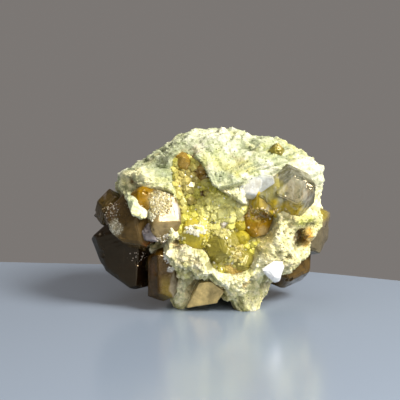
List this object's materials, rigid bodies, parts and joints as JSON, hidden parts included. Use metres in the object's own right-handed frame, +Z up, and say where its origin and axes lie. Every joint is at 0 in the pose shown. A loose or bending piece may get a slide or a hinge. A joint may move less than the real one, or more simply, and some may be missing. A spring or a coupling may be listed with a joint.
{
  "type": "garnet mineral specimen",
  "caption": "Grossular garnet crystals, dark brown to honey, sunk in a fist-shaped block of pale green-white skarn with a crystal-lined hollow in front",
  "frame": {"origin": "on the surface the specimen stands on, below the middle of its bounding box", "axes": "+X along the widest direction, to the right as seen from the hollow; +Y from the hollow in front to the back; +Z up"},
  "size_m": [0.05, 0.0332, 0.036],
  "materials": {
    "skarn": "rough, crumbly, pale cream with green and brown stains",
    "honey_garnet": "small glassy translucent crystals",
    "dark_garnet": "glossy, almost opaque brown",
    "brown_garnet": "glossy, translucent grey-brown",
    "amber_garnet": "glossy, translucent amber-brown",
    "pale_garnet": "glassy, pale grey to honey yellow",
    "tan_garnet": "smooth, satin tan",
    "calcite": "white, pearly cleavage faces"
  },
  "bodies": {
    "root": {"matrix": "skarn", "cavity_crust": "honey_garnet", "garnet_lower_left": "dark_garnet", "garnets_upper_left": "brown_garnet", "garnet_left_foot": "amber_garnet", "garnets_upper_right": "pale_garnet", "garnet_right_edge": "brown_garnet", "garnet_lower_right": "brown_garnet", "garnet_underside": "tan_garnet", "garnet_small_top": "tan_garnet", "garnet_back_upper": "dark_garnet", "garnets_back_middle": "brown_garnet", "garnet_back_left": "amber_garnet", "garnet_back_top": "brown_garnet", "calcite_crystal": "calcite"}
  },
  "joints": []
}
